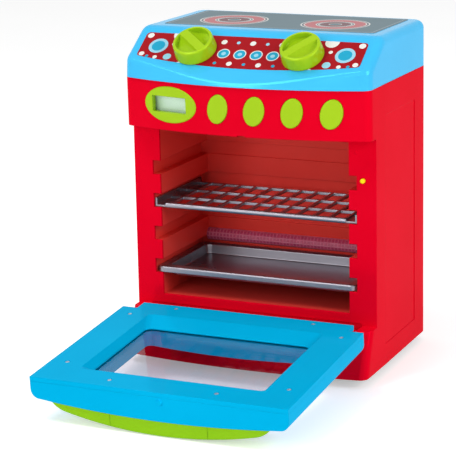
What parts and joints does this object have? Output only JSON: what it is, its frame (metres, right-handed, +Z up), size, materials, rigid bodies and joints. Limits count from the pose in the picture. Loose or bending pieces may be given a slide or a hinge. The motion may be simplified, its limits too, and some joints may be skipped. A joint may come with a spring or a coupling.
{
  "type": "toy oven",
  "caption": "Toy oven with a drop-down window door, a rack and a tray on shelf channels, turning knobs on a sloped panel, push buttons and a small display.",
  "frame": {"origin": "on the floor, at the middle of the front skid, on the centre line and straight below the oven's recessed door frame", "axes": "+X to the right as seen from the front, +Y from the door to the back, +Z up"},
  "size_m": [0.27, 0.3911, 0.3545],
  "materials": {
    "red_plastic": "gloss",
    "orange_plastic": "satin",
    "black_plastic": "matte",
    "blue_plastic": "gloss",
    "hob_skin": "gloss",
    "panel_skin": "gloss",
    "lime_plastic": "gloss",
    "white_plastic": "satin",
    "clear_plastic": "gloss",
    "lcd": "gloss",
    "yellow_plastic": "gloss",
    "magenta_plastic": "gloss",
    "silver_plastic": "satin",
    "circuit_board": "matte",
    "speaker_black": "matte",
    "cell_sleeve": "gloss",
    "steel": "satin"
  },
  "bodies": {
    "oven": {"base_plate": "black_plastic", "base_screws": "steel", "batteries": "cell_sleeve", "battery_box": "black_plastic", "battery_contacts": "steel", "battery_door": "red_plastic", "battery_door_screw": "steel", "board_screws": "steel", "button_board": "circuit_board", "cap_screws": "steel", "cavity_screws": "steel", "control_label": "panel_skin", "display_bezel": "lime_plastic", "display_lens": "clear_plastic", "door_switch": "black_plastic", "front_housing": "red_plastic", "heater_lens": "magenta_plastic", "hinge_pins": "steel", "hob_label": "hob_skin", "housing_screws": "steel", "lamp_board": "circuit_board", "lcd_module": "lcd", "main_board": "circuit_board", "oven_cavity": "orange_plastic", "power_switch": "black_plastic", "rear_cover": "red_plastic", "speaker": "speaker_black", "top_cap": "blue_plastic"},
    "door": {"door_inner_frame": "blue_plastic", "door_outer_frame": "blue_plastic", "door_window": "clear_plastic", "door_handle": "lime_plastic", "door_screws": "steel", "handle_screws": "steel"},
    "plunger": {"door_switch_plunger": "yellow_plastic"},
    "knob_left": {"knob_left": "lime_plastic", "knob_left_clip": "white_plastic"},
    "knob_right": {"knob_right": "lime_plastic", "knob_right_clip": "white_plastic"},
    "button_left": {"button_left": "lime_plastic"},
    "button_mid_left": {"button_mid_left": "lime_plastic"},
    "button_mid_right": {"button_mid_right": "lime_plastic"},
    "button_right": {"button_right": "lime_plastic"},
    "rack": {"rack": "silver_plastic"},
    "tray": {"tray": "silver_plastic"},
    "power_slider": {"power_slider": "black_plastic"}
  },
  "joints": [
    {"name": "door_hinge", "type": "hinge", "parent": "oven", "child": "door", "pos_m": [0, -0.0209, 0.0427], "axis": [-1, 0, 0], "range_deg": [0, 94.91]},
    {"name": "plunger_slide", "type": "slide", "parent": "oven", "child": "plunger", "axis": [0, 1, 0], "range_m": [0, 0.00292]},
    {"name": "knob_left_turn", "type": "hinge", "parent": "oven", "child": "knob_left", "pos_m": [-0.059, -0.00348, 0.33127], "axis": [0, -0.575, 0.8181], "continuous": true},
    {"name": "knob_right_turn", "type": "hinge", "parent": "oven", "child": "knob_right", "pos_m": [0.059, -0.00348, 0.33127], "axis": [0, -0.575, 0.8181], "continuous": true},
    {"name": "button_left_press", "type": "slide", "parent": "oven", "child": "button_left", "axis": [0, 1, 0], "range_m": [0, 0.0012], "stiffness_N_per_m": 300},
    {"name": "button_mid_left_press", "type": "slide", "parent": "oven", "child": "button_mid_left", "axis": [0, 1, 0], "range_m": [0, 0.0012], "stiffness_N_per_m": 300},
    {"name": "button_mid_right_press", "type": "slide", "parent": "oven", "child": "button_mid_right", "axis": [0, 1, 0], "range_m": [0, 0.0012], "stiffness_N_per_m": 300},
    {"name": "button_right_press", "type": "slide", "parent": "oven", "child": "button_right", "axis": [0, 1, 0], "range_m": [0, 0.0012], "stiffness_N_per_m": 300},
    {"name": "rack_slide", "type": "slide", "parent": "oven", "child": "rack", "axis": [0, 1, 0], "range_m": [-0.1, 0]},
    {"name": "tray_slide", "type": "slide", "parent": "oven", "child": "tray", "axis": [0, 1, 0], "range_m": [-0.1, 0]},
    {"name": "power_slide", "type": "slide", "parent": "oven", "child": "power_slider", "axis": [1, 0, 0], "range_m": [-0.002, 0.002]}
  ],
  "couplings": [
    {"joint": "plunger_slide", "follows": "door_hinge", "m_per_rad": 0.0017507}
  ]
}
